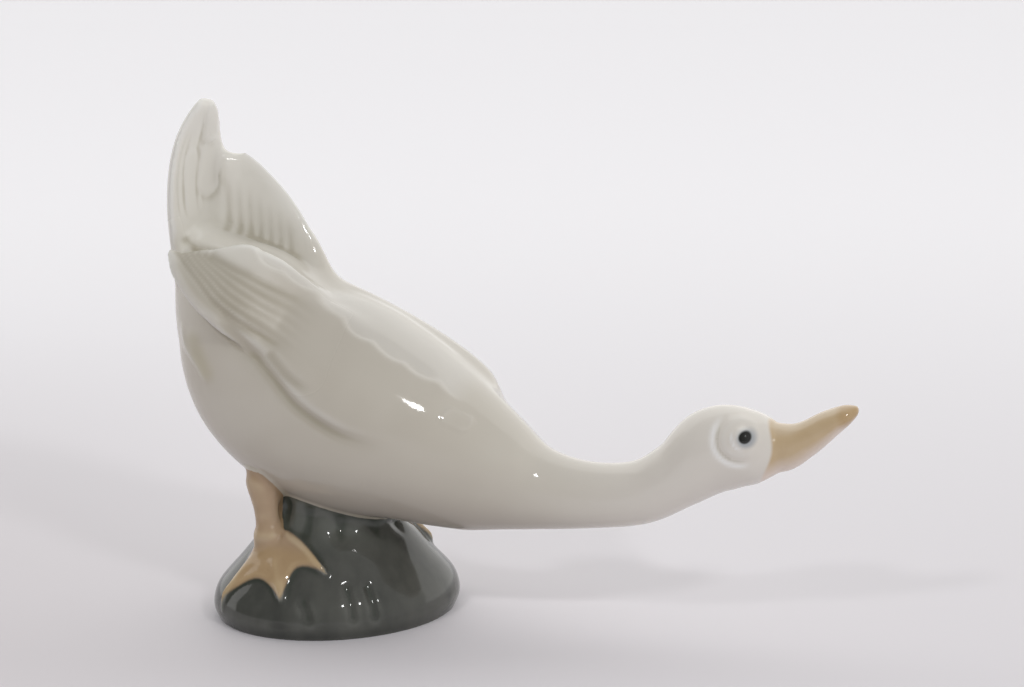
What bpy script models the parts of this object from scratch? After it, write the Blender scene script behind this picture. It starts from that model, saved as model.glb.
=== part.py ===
"""A cast porcelain goose on a small mound, as one solid, in metres with +Z up.

The goose faces +X, so its right side faces -Y. The origin is the middle of the mound's flat underside."""

import math

import bmesh
import bpy
import numpy as np
from mathutils import Vector

# Mound
MOUND_LENGTH = 0.0585
MOUND_WIDTH = 0.0475
MOUND_HEIGHT = 0.030
MOUND_TURN = math.radians(40)
# Flutes round the mound's column
FLUTES = 9
FLUTE_DEPTH = 0.0009
FLUTE_LEVEL = 0.78
FLUTE_SPAN = 0.16
# Body: the rump's end, then how far the body runs forward and falls to the base of the neck
RUMP_X = -0.033
RUMP_HEIGHT = 0.0872
BODY_LENGTH = 0.081
BODY_FALL = 0.0539
BODY_WIDTH = 0.047
BACK_RISE = 0.0215
BELLY_DROP = 0.028
# Neck
NECK_LENGTH = 0.0325
NECK_RISE = 0.0052
NECK_WIDTH = 0.0148
# Head
HEAD_LENGTH = 0.0258
HEAD_RISE = 0.0092
HEAD_WIDTH = 0.0164
CROWN_RISE = 0.0096
CHIN_DROP = 0.0099
EYE_WIDTH = 0.0062
# Beak, rooted inside the head
BEAK_ROOT_DEPTH = 0.0085
BEAK_LENGTH = 0.0228
BEAK_RISE = 0.0101
BEAK_WIDTH = 0.0096
BEAK_HEIGHT = 0.0110
# Tail
TAIL_HEIGHT = 0.1185
TAIL_LENGTH = 0.0450
TAIL_WIDTH = 0.0244
TAIL_THICKNESS = 0.0064
TAIL_TWIST = math.radians(14)
TAIL_NOD = 0.0030
TAIL_CUP = 0.0030
COVERT_WIDTH = 0.0110
COVERT_THICKNESS = 0.0042
# Wings
PRIMARIES = 6
PRIMARY_WIDTH = 0.0058
PRIMARY_THICKNESS = 0.0040
PRIMARY_SWELL = 0.0020
WING_BREADTH = 0.0230
WING_THICKNESS = 0.0085
INNER_VANES = 8
INNER_VANE_WIDTH = 0.0054
INNER_VANE_THICKNESS = 0.0050
INNER_VANE_HOLLOW = 0.0010
WING_LINE_DEPTH = 0.0010
WING_LINE_WIDTH = 0.0017
WING_LINE_REACH = 0.0060
# Legs and feet
LEG_WIDTH = 0.0064
TOE_WIDTH = 0.0036
TOE_LIFT = 0.0006
WEB_LIFT = 0.0018
WEB_THICKNESS = 0.0026
# Mesh
CAST_DETAIL = 0.0008
SOFTENING_ROUNDS = 3
FACE_BUDGET = 11400
RING_SIDES = 32
THINNEST = 0.0001

ACROSS = Vector((0, 1, 0))
RIGHT = -1
LEFT = 1


def on_body(forward, aside, height):
    """A place in shares of the body's length, half width and fall, from the rump's end."""
    return Vector((RUMP_X + forward * BODY_LENGTH, aside * BODY_WIDTH / 2, RUMP_HEIGHT + height * BODY_FALL))


def in_mound(along, aside, height):
    """A place in shares of the mound's half length, half width and height."""
    return Vector((along * MOUND_LENGTH / 2, aside * MOUND_WIDTH / 2, height * MOUND_HEIGHT))


def shaped(points, count):
    """A smooth run of count rows through the given rows, as a Catmull-Rom curve."""
    rows = [np.array(point, float) for point in points]
    rows = [2 * rows[0] - rows[1]] + rows + [2 * rows[-1] - rows[-2]]
    made = []
    for step in range(count):
        place = step / (count - 1) * (len(rows) - 3)
        span = min(int(place), len(rows) - 4)
        t = place - span
        a, b, c, d = rows[span : span + 4]
        cubic = (3 * b - a - 3 * c + d) * t**3
        made.append(0.5 * (2 * b + (c - a) * t + (2 * a - 5 * b + 4 * c - d) * t * t + cubic))
    return made


def loft(bm, stations, side, count=24):
    """Adds a closed form of rings and returns its points.

    A station is x, y, z, half width along side, rise above and drop below."""
    rows = shaped(stations, count)
    rings = []
    for index, row in enumerate(rows):
        centre = Vector(row[:3])
        width, rise, drop = (max(value, THINNEST) for value in row[3:6])
        before = Vector(rows[max(index - 1, 0)][:3])
        after = Vector(rows[min(index + 1, count - 1)][:3])
        along = (after - before).normalized()
        across = (side - side.dot(along) * along).normalized()
        up = across.cross(along).normalized()
        ring = []
        for corner in range(RING_SIDES):
            angle = math.tau * corner / RING_SIDES
            height = drop if math.sin(angle) > 0 else rise
            point = centre + across * width * math.cos(angle) + up * height * math.sin(angle)
            ring.append(bm.verts.new(point))
        rings.append(ring)
    for first, second in zip(rings, rings[1:]):
        for corner in range(RING_SIDES):
            following = (corner + 1) % RING_SIDES
            bm.faces.new((first[corner], first[following], second[following], second[corner]))
    bm.faces.new(reversed(rings[0]))
    bm.faces.new(rings[-1])
    return [vert for ring in rings for vert in ring]


def add_body(bm):
    """The rump, body, neck and head as one smooth form. Returns the middle of the face."""
    half = BODY_WIDTH / 2
    stations = []
    for forward, fall, width, rise, drop in (
        (0.0, 0.0, 0.13, 0.11, 0.14),
        (0.037, 0.07, 0.40, 0.24, 0.34),
        (0.136, 0.245, 0.72, 0.64, 0.67),
        (0.284, 0.50, 0.94, 0.88, 0.97),
        (0.469, 0.676, 1.0, 1.0, 0.98),
        (0.679, 0.811, 0.89, 0.86, 0.77),
        (0.877, 0.935, 0.62, 0.60, 0.57),
        (1.0, 1.0, 0.42, 0.42, 0.375),
    ):
        stations.append((*on_body(forward, 0, -fall), width * half, rise * BACK_RISE, drop * BELLY_DROP))
    neck_x, neck_z = stations[-1][0], stations[-1][2]
    for forward, rise, girth in ((0.36, -0.25, 1.03), (0.73, 0.06, 0.98), (1.0, 1.0, 1.04)):
        radius = girth * NECK_WIDTH / 2
        stations.append((neck_x + forward * NECK_LENGTH, 0, neck_z + rise * NECK_RISE, radius, radius, radius))
    nape_x, nape_z = stations[-1][0], stations[-1][2]
    for forward, rise, width, crown, chin in (
        (0.33, 0.71, 1.0, 1.0, 1.0),
        (0.655, 0.865, 0.93, 0.85, 0.87),
        (0.873, 0.93, 0.61, 0.52, 0.6),
        (1.0, 1.0, 0.18, 0.16, 0.19),
    ):
        x = nape_x + forward * HEAD_LENGTH
        z = nape_z + rise * HEAD_RISE
        stations.append((x, 0, z, width * HEAD_WIDTH / 2, crown * CROWN_RISE, chin * CHIN_DROP))
    loft(bm, stations, ACROSS, 72)
    return Vector((stations[-1][0], 0, stations[-1][2]))


def add_eyes(bm, face):
    """A low round mound for each eye."""
    for side in (RIGHT, LEFT):
        centre = face + Vector((-0.40 * HEAD_LENGTH, side * 0.30 * HEAD_WIDTH, 0.16 * CROWN_RISE))
        made = bmesh.ops.create_uvsphere(bm, u_segments=24, v_segments=16, radius=EYE_WIDTH / 2)
        bmesh.ops.translate(bm, verts=made["verts"], vec=centre)


def add_beak(bm, face):
    """The beak, slightly upturned, from its root inside the head to its tip."""
    root = face - Vector((BEAK_ROOT_DEPTH, 0, 0.1 * BEAK_RISE))
    stations = []
    for forward, rise, width, top, bottom in (
        (0.0, 0.0, 0.94, 0.44, 0.53),
        (0.26, 0.04, 1.0, 0.456, 0.544),
        (0.476, 0.228, 0.92, 0.342, 0.403),
        (0.714, 0.574, 0.83, 0.30, 0.28),
        (0.893, 0.84, 0.69, 0.21, 0.18),
        (1.0, 1.0, 0.17, 0.07, 0.07),
    ):
        x = root.x + forward * BEAK_LENGTH
        z = root.z + rise * BEAK_RISE
        stations.append((x, 0, z, width * BEAK_WIDTH / 2, top * BEAK_HEIGHT, bottom * BEAK_HEIGHT))
    loft(bm, stations, ACROSS, 20)


def add_tail(bm):
    """The raised tail: one cupped leaf, turned a little towards the goose's right."""
    lean = Vector((math.sin(TAIL_TWIST), math.cos(TAIL_TWIST), 0))
    foot = Vector((RUMP_X, 0, TAIL_HEIGHT - TAIL_LENGTH))
    half = TAIL_WIDTH / 2
    stations = []
    for height, nod, aside, broad, thick in (
        (0.0, 0.0, 0.0, 0.70, 1.0),
        (0.23, -0.33, 0.0, 0.86, 0.78),
        (0.45, -0.6, 0.0, 0.97, 0.66),
        (0.63, -0.5, 0.01, 0.97, 0.59),
        (0.775, -0.13, 0.05, 0.84, 0.53),
        (0.885, 0.4, 0.11, 0.61, 0.46),
        (0.96, 0.83, 0.17, 0.37, 0.38),
        (1.0, 1.0, 0.23, 0.10, 0.16),
    ):
        place = foot + Vector((nod * TAIL_NOD, 0, height * TAIL_LENGTH)) + lean * aside * half
        stations.append((*place, broad * half, thick * TAIL_THICKNESS / 2, thick * TAIL_THICKNESS / 2))
    for vert in loft(bm, stations, lean, 40):
        aside = (vert.co - foot).dot(lean) / half
        vert.co.x += TAIL_CUP * aside**2


def add_feather(bm, root, middle, tip, across, width, thickness):
    """One feather, flat across the given direction, that thins out at its root and ends in a rounded tip."""
    stations = []
    for share, broad, thick in (
        (0.0, 0.45, 0.10),
        (0.2, 0.85, 0.55),
        (0.5, 1.0, 1.0),
        (0.75, 0.97, 0.9),
        (0.92, 0.70, 0.66),
        (1.0, 0.12, 0.16),
    ):
        start = (1 - share) * (1 - 2 * share)
        centre = 4 * share * (1 - share)
        end = share * (2 * share - 1)
        point = root * start + middle * centre + tip * end
        half = thick * thickness / 2
        stations.append((*point, broad * width / 2, half, half))
    loft(bm, stations, across, 16)


def add_wing(bm, side, tips, middles, roots, shoulder):
    """One folded wing: the shoulder's smooth mass and the primaries that run back to raised tips.

    Tips, middles and roots each give the lowest and the highest feather's place, as shares of the body."""
    across = Vector((0.35, -side * 0.60, 0.72))
    for index in range(PRIMARIES):
        share = index / (PRIMARIES - 1)
        swell = side * PRIMARY_SWELL * math.sin(math.pi * share)
        line = []
        for lowest, highest in (roots, middles, tips):
            point = on_body(*lowest).lerp(on_body(*highest), share)
            point.y *= side
            line.append(point)
        line[0].y += swell
        line[1].y += swell
        add_feather(bm, *line, across, PRIMARY_WIDTH, PRIMARY_THICKNESS)
    stations = []
    for forward, aside, height, broad, thick in shoulder:
        half = thick * WING_THICKNESS / 2
        stations.append((*on_body(forward, side * aside, height), broad * WING_BREADTH / 2, half, half))
    loft(bm, stations, across, 32)


def add_wings(bm):
    """Both wings. The left one is held a little higher than the right one."""
    add_wing(
        bm,
        RIGHT,
        tips=((-0.010, 0.617, 0.006), (0.136, 0.468, -0.030)),
        middles=((0.154, 0.851, -0.254), (0.259, 0.383, -0.090)),
        roots=((0.395, 0.702, -0.486), (0.432, 0.213, -0.245)),
        shoulder=(
            (0.840, 0.447, -0.755, 0.13, 0.3),
            (0.765, 0.532, -0.690, 0.52, 0.7),
            (0.630, 0.596, -0.579, 0.83, 0.9),
            (0.469, 0.617, -0.449, 1.0, 0.9),
            (0.309, 0.596, -0.319, 0.91, 0.8),
            (0.185, 0.574, -0.189, 0.61, 0.5),
            (0.099, 0.553, -0.078, 0.35, 0.2),
        ),
    )
    add_wing(
        bm,
        LEFT,
        tips=((-0.006, 0.638, 0.089), (0.074, 0.426, 0.321)),
        middles=((0.142, 0.809, -0.152), (0.232, 0.417, 0.085)),
        roots=((0.395, 0.702, -0.449), (0.395, 0.234, -0.236)),
        shoulder=(
            (0.858, 0.553, -0.764, 0.17, 0.3),
            (0.796, 0.617, -0.681, 0.61, 0.9),
            (0.648, 0.638, -0.557, 0.87, 1.0),
            (0.469, 0.630, -0.430, 1.0, 0.9),
            (0.309, 0.617, -0.319, 0.91, 0.8),
            (0.173, 0.596, -0.171, 0.65, 0.5),
            (0.086, 0.574, -0.004, 0.39, 0.2),
        ),
    )


def add_inner_vanes(bm):
    """The short upright feathers that fill the left wing's inner face, from the back up to the wing's ridge."""
    feet = (on_body(0.085, 0.35, -0.08), on_body(0.375, 0.20, -0.225))
    tops = (on_body(0.070, 0.42, 0.265), on_body(0.305, 0.33, -0.065))
    for index in range(INNER_VANES):
        share = index / (INNER_VANES - 1)
        foot = feet[0].lerp(feet[1], share)
        top = tops[0].lerp(tops[1], share)
        middle = foot.lerp(top, 0.5) + ACROSS * INNER_VANE_HOLLOW
        add_feather(bm, foot, middle, top, Vector((0.9, 0.1, 0.3)), INNER_VANE_WIDTH, INNER_VANE_THICKNESS)


def add_coverts(bm):
    """The feathers that close the gap between each wing's tips and the tail."""
    for side, middle_height, tip_height in ((RIGHT, -0.134, -0.022), (LEFT, 0.02, 0.30)):
        add_feather(
            bm,
            on_body(0.185, side * 0.426, -0.245),
            on_body(0.080, side * 0.468, middle_height),
            on_body(0.025, side * 0.426, tip_height),
            Vector((0.6, side * 0.8, 0)),
            COVERT_WIDTH,
            COVERT_THICKNESS,
        )


MOUND_PROFILE = (
    (-0.10, 0.940),
    (0.00, 0.960),
    (0.05, 0.985),
    (0.11, 1.000),
    (0.19, 0.985),
    (0.26, 0.950),
    (0.34, 0.880),
    (0.44, 0.785),
    (0.55, 0.690),
    (0.65, 0.600),
    (0.76, 0.510),
    (0.90, 0.465),
    (1.10, 0.460),
)


def add_mound(bm):
    """The mound: an oval rim, a rounded shoulder and a column that reaches into the belly."""
    long_axis = Vector((math.cos(MOUND_TURN), math.sin(MOUND_TURN), 0))
    stations = []
    for height, share in MOUND_PROFILE:
        half_width = share * MOUND_WIDTH / 2
        stations.append((0, 0, height * MOUND_HEIGHT, share * MOUND_LENGTH / 2, half_width, half_width))
    loft(bm, stations, long_axis, 40)


def on_mound(x, y, lift):
    """The place on the mound's slope above this point of its plan, raised by lift."""
    along = x * math.cos(MOUND_TURN) + y * math.sin(MOUND_TURN)
    across = y * math.cos(MOUND_TURN) - x * math.sin(MOUND_TURN)
    share = math.hypot(along / (MOUND_LENGTH / 2), across / (MOUND_WIDTH / 2))
    slope = [row for row in reversed(MOUND_PROFILE) if row[0] >= 0.11]
    height = float(np.interp(share, [row[1] for row in slope], [row[0] for row in slope]))
    return Vector((x, y, height * MOUND_HEIGHT + lift))


def add_leg(bm, leg, ankle, toes):
    """A short leg that flares into the belly and the foot, and the webbed foot laid over the mound's slope.

    Places are shares of the mound. A row of the leg also has the share of its width there."""
    stations = []
    for along, aside, height, girth in leg:
        radius = girth * LEG_WIDTH / 2
        stations.append((*in_mound(along, aside, height), radius, radius, radius))
    loft(bm, stations, ACROSS, 24)
    heel = in_mound(*ankle, 0)
    tips = [in_mound(*toe, 0) for toe in toes]
    for tip in tips:
        stations = []
        for share, girth in ((0.0, 1.2), (0.35, 1.0), (0.7, 0.85), (0.9, 0.95), (1.0, 0.3)):
            place = heel.lerp(tip, share)
            half = girth * TOE_WIDTH / 2
            stations.append((*on_mound(place.x, place.y, TOE_LIFT), half, half, half))
        loft(bm, stations, Vector((0, 0, 1)), 14)
    for first, second in zip(tips, tips[1:]):
        add_web(bm, heel, first, second)


def add_web(bm, heel, first, second):
    """The skin between two toes: its free edge is a hollow arc."""
    steps = 8
    reaches = 5
    rows = []
    for step in range(steps + 1):
        share = step / steps
        hollow = 0.90 - 0.26 * math.sin(math.pi * share)
        edge = heel.lerp(first.lerp(second, share), hollow)
        row = []
        for reach in range(1, reaches + 1):
            place = heel.lerp(edge, reach / reaches)
            row.append(bm.verts.new(on_mound(place.x, place.y, WEB_LIFT)))
        rows.append(row)
    faces = []
    for near, far in zip(rows, rows[1:]):
        for reach in range(reaches - 1):
            faces.append(bm.faces.new((near[reach], near[reach + 1], far[reach + 1], far[reach])))
    for face in faces:
        face.normal_update()
        if face.normal.z < 0:
            face.normal_flip()
    bmesh.ops.solidify(bm, geom=faces, thickness=WEB_THICKNESS)


def add_legs(bm):
    """The right leg stands back with its foot turned out; the left leg stands forward."""
    add_leg(
        bm,
        leg=(
            (-0.39, -0.50, 0.45, 1.0),
            (-0.403, -0.535, 0.63, 1.25),
            (-0.417, -0.522, 0.73, 0.97),
            (-0.434, -0.505, 0.84, 0.91),
            (-0.451, -0.488, 0.97, 1.09),
            (-0.465, -0.463, 1.10, 1.34),
            (-0.444, -0.421, 1.27, 1.25),
        ),
        ankle=(-0.385, -0.535),
        toes=((-0.718, -0.842), (-0.188, -1.011), (0.116, -0.779)),
    )
    add_leg(
        bm,
        leg=(
            (0.26, 0.47, 0.45, 1.0),
            (0.274, 0.497, 0.66, 1.20),
            (0.25, 0.48, 0.78, 0.97),
            (0.22, 0.46, 0.90, 1.0),
            (0.19, 0.44, 1.02, 1.2),
            (0.16, 0.40, 1.20, 1.2),
        ),
        ankle=(0.274, 0.497),
        toes=((0.650, 0.505), (0.564, 0.821), (0.205, 0.926)),
    )


# The soft lines under each wing, seen from the side, as shares of the body's length and fall
WING_LINES = (
    (
        (0.056, -0.069),
        (0.153, -0.204),
        (0.251, -0.369),
        (0.323, -0.475),
        (0.394, -0.594),
        (0.491, -0.681),
        (0.649, -0.746),
    ),
    ((0.153, -0.204), (0.264, -0.308), (0.402, -0.412)),
)


def line_distance(points, line):
    """How far each point, given by x and z, lies from a bent line of points."""
    nearest = np.full(len(points), np.inf)
    for start, end in zip(line, line[1:]):
        run = end - start
        share = np.clip((points - start) @ run / (run @ run), 0, 1)
        nearest = np.minimum(nearest, np.linalg.norm(points - start - share[:, None] * run, axis=1))
    return nearest


def carve(mesh):
    """Cuts the soft lines under each wing and the flutes round the mound's column."""
    count = len(mesh.vertices)
    places = np.empty(count * 3, np.float32)
    normals = np.empty(count * 3, np.float32)
    mesh.vertices.foreach_get("co", places)
    mesh.vertices.foreach_get("normal", normals)
    places = places.reshape(-1, 3).astype(float)
    normals = normals.reshape(-1, 3)
    depth = np.zeros(count)
    flank = np.clip(np.abs(places[:, 1]) / WING_LINE_REACH - 1, 0, 1)
    for shares in WING_LINES:
        line = [np.array(on_body(forward, 0, height))[[0, 2]] for forward, height in shares]
        far = line_distance(places[:, [0, 2]], line)
        depth = np.maximum(depth, WING_LINE_DEPTH * flank * np.exp(-((far / WING_LINE_WIDTH) ** 2)))
    angle = np.arctan2(places[:, 1], places[:, 0])
    level = (places[:, 2] / MOUND_HEIGHT - FLUTE_LEVEL) / FLUTE_SPAN
    column_reach = 0.31 * MOUND_LENGTH
    on_column = np.exp(-(level**2)) * (np.hypot(places[:, 0], places[:, 1]) < column_reach)
    depth += FLUTE_DEPTH * on_column * (0.5 - 0.5 * np.cos(FLUTES * angle))
    places -= normals * depth[:, None]
    mesh.vertices.foreach_set("co", places.reshape(-1).astype(np.float32))
    mesh.update()


def porcelain():
    glaze = bpy.data.materials.new("porcelain")
    glaze.use_nodes = True
    shader = glaze.node_tree.nodes["Principled BSDF"]
    shader.inputs["Base Color"].default_value = (0.62, 0.60, 0.53, 1)
    shader.inputs["Roughness"].default_value = 0.12
    shader.inputs["Metallic"].default_value = 0
    return glaze


def new_collection(name):
    collection = bpy.data.collections.new(name)
    bpy.context.scene.collection.children.link(collection)
    return collection


def add_trim_block(collection):
    """The block below the table's level that trims the underside flat."""
    bm = bmesh.new()
    made = bmesh.ops.create_cube(bm, size=1)
    bmesh.ops.scale(bm, verts=made["verts"], vec=(2 * MOUND_LENGTH, 2 * MOUND_LENGTH, MOUND_HEIGHT))
    bmesh.ops.translate(bm, verts=made["verts"], vec=(0, 0, -MOUND_HEIGHT / 2))
    mesh = bpy.data.meshes.new("underside_trim")
    bm.to_mesh(mesh)
    bm.free()
    block = bpy.data.objects.new("underside_trim", mesh)
    block.hide_render = True
    block.display_type = "WIRE"
    collection.objects.link(block)
    return block


def triangle_count(obj):
    evaluated = obj.evaluated_get(bpy.context.evaluated_depsgraph_get())
    mesh = evaluated.to_mesh()
    count = sum(len(face.vertices) - 2 for face in mesh.polygons)
    evaluated.to_mesh_clear()
    return count


def main():
    for thing in list(bpy.data.objects):
        bpy.data.objects.remove(thing, do_unlink=True)
    parts = new_collection("goose_figurine_parts")
    cutters = new_collection("cutters")
    bm = bmesh.new()
    face = add_body(bm)
    add_eyes(bm, face)
    add_beak(bm, face)
    add_tail(bm)
    add_coverts(bm)
    add_wings(bm)
    add_inner_vanes(bm)
    add_mound(bm)
    add_legs(bm)
    bmesh.ops.recalc_face_normals(bm, faces=bm.faces)
    mesh = bpy.data.meshes.new("goose_figurine")
    bm.to_mesh(mesh)
    bm.free()
    mesh.materials.append(porcelain())
    goose = bpy.data.objects.new("goose_figurine", mesh)
    parts.objects.link(goose)
    cast = goose.modifiers.new("cast", "REMESH")
    cast.mode = "VOXEL"
    cast.voxel_size = CAST_DETAIL
    cast.use_smooth_shade = True
    soften = goose.modifiers.new("soften", "SMOOTH")
    soften.factor = 0.5
    soften.iterations = SOFTENING_ROUNDS
    bpy.context.view_layer.update()
    goose.data = bpy.data.meshes.new_from_object(goose.evaluated_get(bpy.context.evaluated_depsgraph_get()))
    goose.modifiers.clear()
    carve(goose.data)
    thin = goose.modifiers.new("thin_faces", "DECIMATE")
    bpy.context.view_layer.update()
    thin.ratio = min(1.0, FACE_BUDGET / triangle_count(goose))
    trim = goose.modifiers.new("flat_underside", "BOOLEAN")
    trim.operation = "DIFFERENCE"
    trim.solver = "EXACT"
    trim.object = add_trim_block(cutters)


main()
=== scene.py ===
# %% [markdown]
# # A glazed porcelain goose
#
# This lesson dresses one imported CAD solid, a small porcelain goose on a mound, for its portrait. The solid
# already has the goose's true sizes. Here the same forms are built again with finer detail, joined into one
# skin as a casting is, carved with feathers, and given a glaze.

# %% Load the fixed frame
import math

import bmesh
import bpy
import numpy as np
from mathutils import Matrix, Vector
from mathutils.bvhtree import BVHTree


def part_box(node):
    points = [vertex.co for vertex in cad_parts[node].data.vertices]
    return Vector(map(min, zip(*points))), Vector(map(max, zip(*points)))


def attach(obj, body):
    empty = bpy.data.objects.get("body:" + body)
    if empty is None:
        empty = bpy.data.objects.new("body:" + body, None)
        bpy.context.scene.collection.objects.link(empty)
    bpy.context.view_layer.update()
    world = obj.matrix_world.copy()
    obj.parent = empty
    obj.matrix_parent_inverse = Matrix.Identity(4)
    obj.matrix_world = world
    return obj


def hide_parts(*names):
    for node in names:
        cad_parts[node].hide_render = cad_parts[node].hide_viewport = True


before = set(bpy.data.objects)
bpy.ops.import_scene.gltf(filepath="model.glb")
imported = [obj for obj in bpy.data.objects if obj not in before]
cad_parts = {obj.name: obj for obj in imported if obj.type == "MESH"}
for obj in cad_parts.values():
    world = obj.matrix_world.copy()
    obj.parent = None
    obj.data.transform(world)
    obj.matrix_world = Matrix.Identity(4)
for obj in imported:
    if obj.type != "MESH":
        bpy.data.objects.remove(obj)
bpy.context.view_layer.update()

low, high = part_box("goose_figurine")
print("the solid measures", [round((b - a) * 1000, 1) for a, b in zip(low, high)], "mm")

# %% [markdown]
# ## The camera
#
# A product photographer stands a long lens some way off, so that the near end of the goose does not look too
# big. The camera is turned a little towards the goose's face and looks down at it. Working out its place from
# two angles, a distance and a scale keeps every one of those choices in plain sight.

# %% Camera
TURN, LIFT, DISTANCE = math.radians(15), math.radians(15), 0.80
PIXELS_PER_METRE = 4300
WIDE, TALL = 1024, 687
ORIGIN_PIXEL = (338, 606)

ahead = Vector((-math.sin(TURN) * math.cos(LIFT), math.cos(TURN) * math.cos(LIFT), -math.sin(LIFT)))
rightward = Vector((math.cos(TURN), math.sin(TURN), 0))
upward = rightward.cross(ahead)
aim = rightward * (WIDE / 2 - ORIGIN_PIXEL[0]) / PIXELS_PER_METRE
aim += upward * (ORIGIN_PIXEL[1] - TALL / 2) / PIXELS_PER_METRE
lens = bpy.data.cameras.new("camera")
lens.sensor_width = 36
lens.lens = lens.sensor_width * DISTANCE / (WIDE / PIXELS_PER_METRE)
lens.clip_start = 0.01
camera = bpy.data.objects.new("camera", lens)
camera_axes = Matrix((rightward, upward, -ahead)).transposed().to_4x4()
camera.matrix_world = Matrix.Translation(aim - ahead * DISTANCE) @ camera_axes
bpy.context.scene.collection.objects.link(camera)
bpy.context.scene.camera = camera
print("lens", round(lens.lens, 1), "mm")

# %% [markdown]
# ## Rings and skins
#
# Almost every form of the goose is a run of oval rings, as a sculptor lays coils of clay. A few rings are
# listed, a smooth curve is read through them, and bridge_loops closes the skin from ring to ring.
# The upper and lower halves of a ring may differ, because a back is flatter than a belly.


# %% Smooth runs and skins
def smooth_run(rows, count):
    """Count rows on a Catmull-Rom curve through the given rows."""
    rows = [np.array(row, float) for row in rows]
    rows = [2 * rows[0] - rows[1]] + rows + [2 * rows[-1] - rows[-2]]
    run = []
    for step in range(count):
        place = step / (count - 1) * (len(rows) - 3)
        span = min(int(place), len(rows) - 4)
        t = place - span
        a, b, c, d = rows[span : span + 4]
        bend = (3 * b - a - 3 * c + d) * t**3
        run.append(0.5 * (2 * b + (c - a) * t + (2 * a - 5 * b + 4 * c - d) * t * t + bend))
    return run


def oval_ring(bm, centre, side, up, width, rise, drop, corners):
    """An oval of edges, drawn from a unit circle."""
    made = bmesh.ops.create_circle(bm, segments=corners, radius=1)
    for vert in made["verts"]:
        height = rise if vert.co.y > 0 else drop
        vert.co = centre + side * width * vert.co.x + up * height * vert.co.y
    return list({edge for vert in made["verts"] for edge in vert.link_edges})


THINNEST = 0.0001


def loft(bm, stations, side, count, corners=64):
    """A closed skin over rings. A station is x, y, z, half width, rise above and drop below."""
    rows = smooth_run(stations, count)
    rings = []
    for index, row in enumerate(rows):
        before = Vector(rows[max(index - 1, 0)][:3])
        after = Vector(rows[min(index + 1, count - 1)][:3])
        along = (after - before).normalized()
        across = (side - side.dot(along) * along).normalized()
        up = along.cross(across).normalized()
        width, rise, drop = (max(size, THINNEST) for size in row[3:6])
        rings.append(oval_ring(bm, Vector(row[:3]), across, up, width, rise, drop, corners))
    for first, second in zip(rings, rings[1:]):
        bmesh.ops.bridge_loops(bm, edges=first + second)
    for end in (rings[0], rings[-1]):
        bmesh.ops.contextual_create(bm, geom=end)


# %% [markdown]
# ## Body, neck and head
#
# The real goose is cast in one mould, and its rump, back, breast, neck and head flow into each other without
# a seam. So they are one long loft, from the rump's end to the face. Each group of rings has its own driving
# sizes, which repeat those of the solid.

# %% Body, neck and head
RUMP_X, RUMP_HEIGHT = -0.033, 0.0872
BODY_LENGTH, BODY_FALL, BODY_HALF_WIDTH = 0.081, 0.0539, 0.0235
BACK_RISE, BELLY_DROP = 0.0215, 0.028
NECK_LENGTH, NECK_RISE, NECK_RADIUS = 0.0325, 0.0052, 0.0074
HEAD_LENGTH, HEAD_RISE, HEAD_HALF_WIDTH = 0.0258, 0.0092, 0.0082
CROWN_RISE, CHIN_DROP = 0.0096, 0.0099
ACROSS = Vector((0, 1, 0))


def on_body(forward, aside, height):
    """A place in shares of the body's length, half width and fall, from the rump's end."""
    x = RUMP_X + forward * BODY_LENGTH
    return Vector((x, aside * BODY_HALF_WIDTH, RUMP_HEIGHT + height * BODY_FALL))


BODY_SHARES = (
    (0.0, 0.0, 0.13, 0.11, 0.14),
    (0.037, 0.07, 0.40, 0.24, 0.34),
    (0.136, 0.245, 0.72, 0.64, 0.67),
    (0.284, 0.50, 0.94, 0.88, 0.97),
    (0.469, 0.676, 1.0, 1.0, 0.98),
    (0.679, 0.811, 0.89, 0.86, 0.77),
    (0.877, 0.935, 0.62, 0.60, 0.57),
    (1.0, 1.0, 0.42, 0.42, 0.375),
)
NECK_SHARES = ((0.36, -0.25, 1.03), (0.73, 0.06, 0.98), (1.0, 1.0, 1.04))
HEAD_SHARES = (
    (0.33, 0.71, 1.0, 1.0, 1.0),
    (0.655, 0.865, 0.93, 0.85, 0.87),
    (0.873, 0.93, 0.61, 0.52, 0.6),
    (1.0, 1.0, 0.18, 0.16, 0.19),
)


def body_stations():
    rows = []
    for forward, fall, width, rise, drop in BODY_SHARES:
        place = on_body(forward, 0, -fall)
        rows.append((*place, width * BODY_HALF_WIDTH, rise * BACK_RISE, drop * BELLY_DROP))
    shoulder = Vector(rows[-1][:3])
    for forward, rise, girth in NECK_SHARES:
        place = shoulder + Vector((forward * NECK_LENGTH, 0, rise * NECK_RISE))
        rows.append((*place, *(girth * NECK_RADIUS,) * 3))
    nape = Vector(rows[-1][:3])
    for forward, rise, width, crown, chin in HEAD_SHARES:
        place = nape + Vector((forward * HEAD_LENGTH, 0, rise * HEAD_RISE))
        rows.append((*place, width * HEAD_HALF_WIDTH, crown * CROWN_RISE, chin * CHIN_DROP))
    return rows


BODY_ROWS = body_stations()
FACE = Vector(BODY_ROWS[-1][:3])
forms = {}
forms["body"] = bmesh.new()
loft(forms["body"], BODY_ROWS, ACROSS, 190, corners=112)
print("body form", len(forms["body"].faces), "faces, the face at", [round(c * 1000, 1) for c in FACE], "mm")

# %% [markdown]
# ## Beak and eyes
#
# The beak is a second loft, rooted inside the head so that the face closes round it, and slightly upturned.
# Each eye sits on a low round mound: a sphere sunk into the cheek makes it.

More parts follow.
